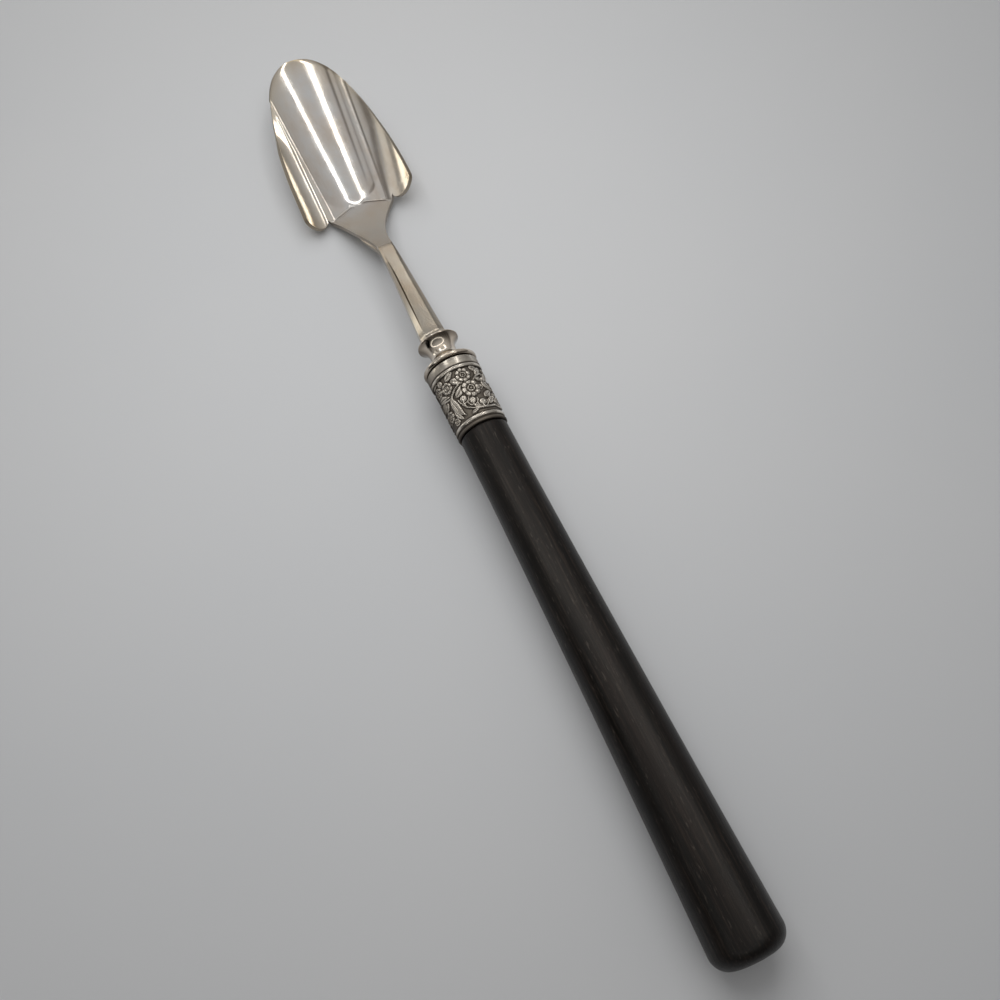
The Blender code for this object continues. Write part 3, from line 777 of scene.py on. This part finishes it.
def make_bowl():
    built = bmesh.new()
    stain = built.verts.layers.float.new("stain")
    grime_and_shade = built.verts.layers.float.new("grime_and_shade")
    shares = np.linspace(0.0, 1.0, BODY_ROWS + 1)
    last = between(widest, tip, TIP_ROW_SHARE) - TIP_ROW_SETBACK
    stations = between(notch, last, np.sin(shares * math.pi / 2) ** ROW_CROWDING)
    rows = list(zip(stations, shares ** ROW_BOW))
    last_half = rim_half_width(last)
    seam = NOTCH_HALF_WIDTH / BOWL_HALF_WIDTH
    across = np.linspace(-1.0, 1.0, PANEL_COLUMNS + 1)
    outward = np.linspace(0.0, 1.0, WING_COLUMNS + 1)

    def add_row(xs, ys, with_heel):
        heights = bowl_height(xs, ys, with_heel)
        row = [built.verts.new(point) for point in zip(xs, ys + side_bow(xs), heights)]
        # Painted shade lies along the corner creases by the heel
        dirt_and_shade = corner_shade(xs, ys) if with_heel else np.zeros_like(xs)
        for vert, x, y, shaded in zip(row, xs, ys, dirt_and_shade):
            vert[stain] = stain_at(x, y)
            vert[grime_and_shade] = shaded
        return row

    def rim_row(station, bow, widths):
        sag = tip_sag(last_half) - tip_sag(widths * last_half)
        return station + bow * sag, widths * rim_half_width(station)

    def skin(rings):
        for near, far in zip(rings, rings[1:]):
            for i in range(len(near) - 1):
                corners = [near[i], near[i + 1], far[i + 1], far[i]]
                built.faces.new(list(dict.fromkeys(corners)))

    heel = []
    for station in np.linspace(joint + CLEARANCE, notch, HEEL_ROWS + 1)[:-1]:
        heel.append(add_row(np.full(across.shape, station), across * heel_half_width(station), True))
    panel = [add_row(*rim_row(station, bow, across * seam), True) for station, bow in rows]
    skin(heel + panel)
    for side in (-1, 1):
        wing = []
        for panel_row, (station, bow) in zip(panel, rows):
            xs, ys = rim_row(station, bow, between(seam, 1, outward))
            wing.append([panel_row[0 if side < 0 else -1]] + add_row(xs[1:], side * ys[1:], False))
        inside, outside = wing[0][0], wing[0][-1]
        ear = between(NOTCH_HALF_WIDTH, BOWL_HALF_WIDTH, outward[1:-1])
        lobe = EAR_LENGTH * np.sin(math.pi * outward[1:-1]) ** EAR_ROUNDNESS
        for share in np.arange(1, EAR_ROWS + 1) / EAR_ROWS:
            row = add_row(notch - share * lobe, side * ear, False)
            wing.insert(0, [inside] + row + [outside])
        skin(wing)
    # The bowl's edge is darkened with painted shade, except near the joint
    for edge in built.edges:
        if edge.is_boundary:
            for vert in edge.verts:
                vert[grime_and_shade] = RIM_SHADE if vert.co.x > joint + RIM_SHADE_JOINT_GAP else 0.0
    bmesh.ops.recalc_face_normals(built, faces=built.faces)
    if sum(face.normal.z for face in built.faces) < 0:
        bmesh.ops.reverse_faces(built, faces=built.faces)
    mesh = mesh_of("fluted_bowl", built)
    piece = add_piece("fluted_bowl", mesh, silver, "scoop_bowl")
    shell = piece.modifiers.new("sheet", "SOLIDIFY")
    shell.thickness = SHEET
    shell.offset = -1.0
    shell.use_even_offset = True
    add_bevel(piece, "rim", RIM_BEVEL, 3, RIM_BEVEL_ANGLE)


def stem_section(half_width, half_depth, chamfer, groove):
    """Points round the faceted stem, as (across, up), with a crowned top and a groove on the left arris."""
    left_arris = half_width - LEFT_CHAMFER_SHARE * chamfer
    right_arris = -half_width + RIGHT_CHAMFER_SHARE * chamfer
    crown = half_depth + FACET_CROWN * chamfer / STEM_CHAMFER
    knee_in, knee_down = CHAMFER_KNEE
    side = half_depth - chamfer
    half_groove = groove * GROOVE_WIDTH / 2
    return [(half_width, -side), (half_width, side),
            (left_arris + half_groove, half_depth - GROOVE_EDGE_DROP * chamfer),
            (left_arris, half_depth - groove * GROOVE_DEPTH),
            (left_arris - half_groove - GROOVE_LEAST_WIDTH, half_depth),
            ((left_arris + right_arris) / 2, crown), (right_arris, half_depth),
            (right_arris - knee_in * chamfer, half_depth - knee_down * chamfer),
            (-half_width, side), (-half_width, -side),
            (-half_width + chamfer, -half_depth), (half_width - chamfer, -half_depth)]


def make_stem():
    flank_start = stem_start + STEM_FOOT_FLARE
    rings = []
    base = stem_section(STEM_BASE_WIDTH / 2, STEM_BASE_DEPTH / 2, STEM_CHAMFER, 0.0)
    for share in np.linspace(0.0, 1.0, STEM_FOOT_ROWS + 1)[:-1]:
        station = collar_end - STEM_FOOT_SINK + (flank_start - collar_end) * share
        spread = (1 - share) ** STEM_FOOT_SPREAD
        ring = []
        for i, (a, b) in enumerate(base):
            a *= 1 + STEM_LEFT_SPREAD if a > 0.0 else 1.0
            lump = 1 + STEM_FOOT_LUMPS * math.sin(LUMPS_ROUND * i + LUMPS_ALONG * share)
            scale = between(1, STEM_FOOT_RADIUS / math.hypot(a, b) * lump, spread)
            ring.append((station, a * scale, b * scale))
        rings.append(ring)
    for share in np.linspace(0.0, 1.0, STEM_FLANK_ROWS):
        station = between(flank_start, joint, share)
        half_width = between(STEM_BASE_WIDTH, STEM_TIP_WIDTH, share) / 2
        half_depth = between(STEM_BASE_DEPTH, STEM_TIP_DEPTH, share) / 2
        groove = math.sqrt(math.sin(math.pi * min(share / GROOVE_END, 1.0)))
        chamfer = STEM_CHAMFER * 2 * half_depth / STEM_BASE_DEPTH
        chamfer *= 1 - CHAMFER_RUNOUT * share ** CHAMFER_RUNOUT_POWER
        section = stem_section(half_width, half_depth, chamfer, groove)
        if share < 1.0:
            spread = 1 + STEM_LEFT_SPREAD * (1 - share)
            section = [(a * spread if a > 0.0 else a, b) for a, b in section]
            rings.append([(station, a + side_bow(station), b - STEM_CRANK * share) for a, b in section])
        else:
            rings.append(heel_ring(station + HEEL_SEAT, half_depth, section))
    rebate = SHEET + REBATE_GAP
    first_thickness = STEM_TIP_DEPTH - rebate
    for share in np.sin(np.linspace(0.0, math.pi / 2, STEM_DROP_ROWS)):
        station = joint + HEEL_SEAT + (HEEL_LENGTH - DROP_SETBACK) * share
        thickness = between(first_thickness, DROP_END_THICKNESS, share)
        half_width = heel_half_width(station) * math.sqrt(1 - DROP_ROUNDING * share ** DROP_SQUARENESS)
        section = stem_section(half_width, thickness / 2, thickness / 4, 0.0)
        rings.append(heel_ring(station, rebate + thickness / 2, section))
    count = len(rings[0])
    points = [point for ring in rings for point in ring]
    faces = ring_faces(len(rings), count)
    faces.append(tuple(range(count)))
    faces.append(tuple(range((len(rings) - 1) * count, len(rings) * count)))
    grime_and_shade = []
    for row, ring in enumerate(rings):
        solder = JOINT_TARNISH * math.exp(-((ring[0][0] - joint) / JOINT_TARNISH_REACH) ** 2)
        ring_grime_and_shade = [solder] * count
        # The groove on the left arris is darkened with painted shade
        if STEM_FOOT_ROWS <= row < STEM_FOOT_ROWS + STEM_GROOVE_ROWS:
            ring_grime_and_shade[GROOVE_POINT] = GROOVE_SHADE
        grime_and_shade += ring_grime_and_shade
    mesh = mesh_from("faceted_stem", points, faces, ARRIS_ANGLE, grime_and_shade)
    piece = add_piece("faceted_stem", mesh, dull_silver, "stem")
    add_bevel(piece, "arris", ARRIS_WIDTH, 2, ARRIS_ANGLE).harden_normals = True


def heel_ring(station, below, section):
    """A section square to the heel, its middle the given distance under the heel's upper face."""
    length = math.hypot(1.0, heel_slope)
    points = []
    for across, up in section:
        rise = (up - below) / length
        points.append((station + heel_slope * rise, across + side_bow(station), heel_plane(station) + rise))
    return points


class Finish:
    """A node material under construction."""

    def __init__(self, name):
        self.material = bpy.data.materials.new(name)
        self.material.use_nodes = True
        self.tree = self.material.node_tree
        self.shader = self.tree.nodes["Principled BSDF"]
        self.places = self.tree.nodes.new("ShaderNodeTexCoord").outputs["Object"]

    def put(self, value, socket):
        """Link another node's output to a socket, or give the socket a colour or a number."""
        if isinstance(value, bpy.types.NodeSocket):
            self.tree.links.new(value, socket)
        elif isinstance(value, tuple):
            socket.default_value = (*value, 1.0)
        else:
            socket.default_value = value

    def look(self, label, value):
        self.put(value, self.shader.inputs[label])

    def node(self, kind, **inputs):
        made = self.tree.nodes.new(kind)
        for label, value in inputs.items():
            self.put(value, made.inputs[label])
        return made

    def noise(self, scale, stretch=1.0, detail=4.0, roughness=0.5):
        """A noise value over the piece, drawn out along the handle's axis by a small stretch."""
        mapping = self.node("ShaderNodeMapping", Vector=self.places)
        mapping.inputs["Scale"].default_value = (stretch, 1.0, 1.0)
        texture = self.node("ShaderNodeTexNoise", Vector=mapping.outputs["Vector"], Scale=scale,
                            Detail=detail, Roughness=roughness)
        return texture.outputs["Fac"]

    def ramp(self, factor, *stops):
        """Colours over a factor, from (place, colour) stops."""
        ramp = self.node("ShaderNodeValToRGB", Fac=factor)
        elements = ramp.color_ramp.elements
        while len(elements) < len(stops):
            elements.new(0.5)
        for element, (place, colour) in zip(elements, stops):
            element.position = place
            element.color = (*colour, 1.0)
        return ramp.outputs["Color"]

    def mix(self, factor, first, second):
        mix = self.tree.nodes.new("ShaderNodeMix")
        mix.data_type = "RGBA"
        for label, value in (("Factor", factor), ("A", first), ("B", second)):
            self.put(value, mix.inputs[label])
        return mix.outputs["Result"]

    def tint(self, factor, start, end, most, colour, other):
        """A colour that turns to another: not at all at the factor's start, and most at its end."""
        return self.mix(self.ramp(factor, (start, grey(0.0)), (end, grey(most))), colour, other)

    def attribute(self, name):
        """A value that the mesh holds at its points."""
        node = self.node("ShaderNodeAttribute")
        node.attribute_name = name
        return node.outputs["Fac"]

    def bump(self, height, strength, distance):
        bump = self.node("ShaderNodeBump", Height=height, Strength=strength, Distance=distance)
        self.look("Normal", bump.outputs["Normal"])


def grey(value):
    return (value, value, value)


def make_silver(name, smoothest, roughest, scratch, tone, dirt_and_shade_roughness):
    """Worn silver plate, warm where it is tarnished, dark with a roughness of its own where dirt and painted
    shade lie.
    """
    finish = Finish(name)

    def toned(*colour):
        return tuple(value * share for value, share in zip(colour, tone))

    bright = toned(0.87, 0.87, 0.865)
    warm = toned(0.86, 0.81, 0.76)
    brown = toned(0.78, 0.69, 0.60)
    yellow = toned(0.74, 0.64, 0.48)
    dirt_and_shade = (0.10, 0.075, 0.055)
    tarnish = finish.noise(140.0, 0.6, 5.0, 0.6)
    colour = finish.ramp(tarnish, (0.32, bright), (0.52, warm), (0.72, brown))
    colour = finish.mix(finish.attribute("stain"), colour, yellow)
    # The mesh holds dirt and painted shade, which turn the colour dark brown
    grime_and_shade = finish.attribute("grime_and_shade")
    haze = finish.noise(420.0, 0.5, 6.0, 0.65)
    rough = finish.ramp(haze, (0.3, grey(smoothest)), (0.7, grey(roughest)))
    finish.look("Metallic", 1.0)
    finish.look("Base Color", finish.mix(grime_and_shade, colour, dirt_and_shade))
    finish.look("Roughness", finish.mix(grime_and_shade, rough, grey(dirt_and_shade_roughness)))
    finish.bump(finish.noise(2600.0, 0.12, 3.0, 0.6), scratch, 0.02 * MM)
    return finish.material


def make_embossed():
    """Embossed plate, dark in its ground and bright where it is rubbed."""
    finish = Finish("oxidised_embossed_plate")
    black = (0.05, 0.043, 0.036)
    dull = (0.40, 0.36, 0.305)
    bright = (0.84, 0.785, 0.70)
    brown = (0.16, 0.13, 0.11)
    polish_and_shade = finish.attribute("polish_and_shade")
    colour = finish.ramp(polish_and_shade, (0.04, black), (0.38, dull), (0.72, bright))
    grime_and_shade = finish.ramp(finish.noise(900.0, detail=5.0, roughness=0.6), (0.35, grey(0.35)), (0.65, grey(0.0)))
    finish.look("Metallic", 1.0)
    finish.look("Base Color", finish.mix(grime_and_shade, colour, brown))
    finish.look("Roughness", finish.ramp(polish_and_shade, (0.1, grey(0.6)), (0.7, grey(0.22))))
    finish.bump(finish.noise(3200.0), 0.2, 0.03 * MM)
    return finish.material


def make_ebony():
    """Nearly black wood with lengthwise grain, brown streaks, pale flecks and dark pores."""
    finish = Finish("ebony_wood")
    black = (0.0022, 0.0016, 0.0013)
    dark = (0.0050, 0.0036, 0.0028)
    brown = (0.028, 0.0193, 0.0140)
    streak = (0.022, 0.0125, 0.0092)
    fleck = (0.080, 0.066, 0.054)
    pore = (0.003, 0.0025, 0.002)
    grain = finish.noise(2200.0, 0.03, 6.0, 0.7)
    colour = finish.ramp(grain, (0.35, black), (0.52, dark), (0.68, brown))
    colour = finish.tint(finish.noise(420.0, 0.05, 6.0, 0.7), 0.5, 0.75, 0.55, colour, streak)
    colour = finish.tint(finish.noise(2000.0, 0.2, 3.0, 0.6), 0.61, 0.74, 0.6, colour, fleck)
    colour = finish.tint(finish.noise(1500.0, 0.07, 4.0, 0.65), 0.58, 0.68, 0.85, colour, pore)
    wear = finish.noise(300.0, 0.15, 6.0, 0.7)
    finish.look("Base Color", colour)
    finish.look("Specular IOR Level", 0.26)
    finish.look("Roughness", finish.ramp(wear, (0.3, grey(0.30)), (0.7, grey(0.46))))
    finish.bump(finish.noise(2600.0, 0.035, 6.0, 0.75), 0.6, 0.06 * MM)
    return finish.material


def make_pitch():
    finish = Finish("cutlers_pitch_resin")
    dark = (0.03, 0.018, 0.012)
    brown = (0.07, 0.045, 0.03)
    finish.look("Base Color", finish.ramp(finish.noise(700.0), (0.3, dark), (0.7, brown)))
    finish.look("Roughness", 0.6)
    return finish.material


def make_floor():
    finish = Finish("pale_floor")
    cloud = finish.noise(9.0, detail=5.0)
    finish.look("Base Color", finish.ramp(cloud, (0.3, FLOOR_DARK), (0.7, FLOOR_PALE)))
    finish.look("Roughness", 0.6)
    finish.look("Specular IOR Level", 0.0)
    built = bmesh.new()
    bmesh.ops.create_circle(built, cap_ends=True, segments=FLOOR_STEPS, radius=FLOOR_RADIUS)
    floor = add_object("floor", mesh_of("floor", built))
    floor.data.materials.append(finish.material)


def glow(name, strength, colour):
    """A plain lit surface."""
    made = bpy.data.materials.new(name)
    made.use_nodes = True
    tree = made.node_tree
    tree.nodes.clear()
    emission = tree.nodes.new("ShaderNodeEmission")
    emission.inputs["Color"].default_value = (*colour, 1.0)
    emission.inputs["Strength"].default_value = strength
    output = tree.nodes.new("ShaderNodeOutputMaterial")
    tree.links.new(emission.outputs["Emission"], output.inputs["Surface"])
    return made


def stage_mesh(name, points, faces, material):
    """A lamp or card of the studio, out of the camera's sight."""
    mesh = bpy.data.meshes.new(name)
    mesh.from_pydata(points, [], faces)
    mesh.materials.append(material)
    card = add_object(name, mesh)
    card.visible_camera = False
    return card


def ring_lamp(name, radius, width, material):
    """A flat ring of light, square to its own z axis."""
    angles = np.arange(RING_STEPS) * 2 * math.pi / RING_STEPS
    points = []
    for edge in (radius - width / 2, radius + width / 2):
        points += [(edge * math.cos(a), edge * math.sin(a), 0.0) for a in angles]
    return stage_mesh(name, points, ring_faces(2, RING_STEPS), material)


def card_towards(name, azimuth, elevation, half_turn, half_lift, distance, material):
    """A card square to a direction from the bowl, in degrees left of the scoop's axis and over the table."""
    a = math.radians(azimuth)
    e = math.radians(elevation)
    outward = Vector((math.cos(e) * math.cos(a), math.cos(e) * math.sin(a), math.sin(e)))
    across = Vector((-math.sin(a), math.cos(a), 0.0))
    lift = outward.cross(across)
    middle = rest @ Vector(CARDS_FACE) + distance * outward
    wide = distance * math.tan(math.radians(half_turn))
    tall = distance * math.tan(math.radians(half_lift))
    points = [middle + i * wide * across + j * tall * lift for i, j in ((-1, -1), (1, -1), (1, 1), (-1, 1))]
    return stage_mesh(name, points, [(0, 1, 2, 3)], material)


def area_lamp(name, shape, size, power):
    data = bpy.data.lights.new(name, "AREA")
    data.shape = shape
    data.size = size
    data.energy = power
    return add_object(name, data)


def make_lamps():
    far_glow = glow("far_ring_glow", LAMP_STRENGTH, LAMP_COLOUR)
    far_ring = ring_lamp("far_ring_lamp", LAMP_RADIUS, LAMP_WIDTH, far_glow)
    far_ring.location = rest @ Vector(LAMP_OVER_BOWL)
    # The side of the ring that shows at the bowl's tip is dimmer and warmer
    far_ring.data.materials.append(glow("far_ring_dim_glow", LAMP_DIM_STRENGTH, LAMP_DIM_COLOUR))
    dimmest = Vector((math.cos(LAMP_DIM_MIDDLE), math.sin(LAMP_DIM_MIDDLE), 0.0))
    for face in far_ring.data.polygons:
        if face.center.angle(dimmest) < LAMP_DIM_HALF_ANGLE:
            face.material_index = 1
    near_glow = glow("near_ring_glow", CAMERA_RING_STRENGTH, CAMERA_RING_COLOUR)
    near_ring = ring_lamp("near_ring_lamp", CAMERA_RING_RADIUS, CAMERA_RING_WIDTH, near_glow)
    squash = Matrix.Rotation(CAMERA_RING_TURN, 4, "Z") @ Matrix.Diagonal((1.0, CAMERA_RING_SQUASH, 1.0, 1.0))
    near_ring.matrix_world = bpy.context.scene.camera.matrix_world @ squash
    near_ring.visible_diffuse = False
    for name, (turn, lift, half_turn, half_lift, distance, strength, colour) in CARDS.items():
        card_glow = glow(name + "_glow", strength, colour)
        card = card_towards(name, turn, lift, half_turn, half_lift, distance, card_glow)
        card.visible_diffuse = False
    # The flag darkens what the metal and the wood mirror on their left
    corners = [(x, FLAG_AT_Y, z) for z in (0.0, FLAG_HEIGHT) for x in FLAG_REACH]
    flag = stage_mesh("black_flag", corners, [(0, 1, 3, 2)], glow("black_cloth", 0.0, grey(0.0)))
    flag.visible_diffuse = False
    flag.visible_shadow = False
    lamp = area_lamp("overhead_lamp", "DISK", OVERHEAD_SIZE, OVERHEAD_POWER)
    lamp.location = rest @ Vector(OVERHEAD_AT)
    lamp.visible_glossy = False


def make_strip(handle):
    """A long lamp slanting over the handle, which lights the wood's sheen and nothing else."""
    first, second = (Vector(end) for end in STRIP_ENDS)
    run = first - second
    lamp = area_lamp("strip_lamp", "RECTANGLE", run.length, STRIP_POWER)
    lamp.data.size_y = STRIP_WIDTH
    lamp.data.color = STRIP_COLOUR
    lamp.location = (first + second) / 2
    lamp.rotation_euler = (0.0, 0.0, math.atan2(run.y, run.x))
    lamp.visible_diffuse = False
    lit = bpy.data.collections.new("lit_by_strip")
    lit.objects.link(handle)
    lamp.light_linking.receiver_collection = lit


def make_world():
    """A soft sky, brightest over the bowl's far side and dim behind the camera."""
    world = bpy.data.worlds.new("studio")
    world.use_nodes = True
    tree = world.node_tree
    background = tree.nodes["Background"]
    place = tree.nodes.new("ShaderNodeTexCoord")
    facing = tree.nodes.new("ShaderNodeVectorMath")
    facing.operation = "DOT_PRODUCT"
    facing.inputs[1].default_value = SKY_FACING
    tree.links.new(place.outputs["Generated"], facing.inputs[0])
    ramp = tree.nodes.new("ShaderNodeValToRGB")
    dark, bright = ramp.color_ramp.elements
    dark.color = (*SKY_DARK, 1.0)
    bright.color = (*SKY_BRIGHT, 1.0)
    bright.position = SKY_BRIGHT_AT
    tree.links.new(facing.outputs["Value"], ramp.inputs["Fac"])
    tree.links.new(ramp.outputs["Color"], background.inputs["Color"])
    bpy.context.scene.world = world


def make_camera():
    data = bpy.data.cameras.new("camera")
    data.lens = LENS
    data.sensor_width = SENSOR
    data.clip_start = CAMERA_CLIP
    camera = add_object("camera", data)
    forward = Vector((math.cos(CAMERA_PITCH) * math.cos(CAMERA_HEADING),
                      math.cos(CAMERA_PITCH) * math.sin(CAMERA_HEADING), -math.sin(CAMERA_PITCH)))
    level = Vector((math.sin(CAMERA_HEADING), -math.cos(CAMERA_HEADING), 0.0))
    upright = level.cross(forward)
    right = math.cos(CAMERA_ROLL) * level + math.sin(CAMERA_ROLL) * upright
    up = right.cross(forward)
    turn = Matrix((right, up, -forward)).transposed()
    camera.matrix_world = Matrix.Translation(CAMERA_AT) @ turn.to_4x4()
    bpy.context.scene.camera = camera


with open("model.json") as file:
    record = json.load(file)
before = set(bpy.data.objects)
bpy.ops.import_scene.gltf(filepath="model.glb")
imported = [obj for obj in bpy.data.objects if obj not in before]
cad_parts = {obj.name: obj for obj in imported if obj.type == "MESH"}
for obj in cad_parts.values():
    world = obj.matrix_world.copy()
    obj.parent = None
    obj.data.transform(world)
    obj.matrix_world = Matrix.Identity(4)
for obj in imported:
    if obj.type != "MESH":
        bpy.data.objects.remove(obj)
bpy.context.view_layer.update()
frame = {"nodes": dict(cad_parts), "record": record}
rest = resting_matrix(frame["record"])

silver = make_silver("worn_silver_plate", smoothest=0.10, roughest=0.20, scratch=0.12,
                     tone=grey(1.0), dirt_and_shade_roughness=0.7)
warm_silver = make_silver("warm_silver_plate", smoothest=0.10, roughest=0.20, scratch=0.12,
                          tone=(0.96, 0.90, 0.81), dirt_and_shade_roughness=0.15)
dull_silver = make_silver("dull_silver_plate", smoothest=0.17, roughest=0.27, scratch=0.3,
                          tone=(0.58, 0.545, 0.48), dirt_and_shade_roughness=0.25)
embossed = make_embossed()
ebony = make_ebony()
cement = frame["nodes"]["tang_cement"]
cement.data.materials.clear()
cement.data.materials.append(make_pitch())

turned_handle = make_handle()
make_sleeve()
make_cap()
make_collar()
make_stem()
make_bowl()
make_floor()
make_camera()
make_lamps()
make_strip(turned_handle)
make_world()
bpy.context.scene.view_settings.view_transform = "Standard"
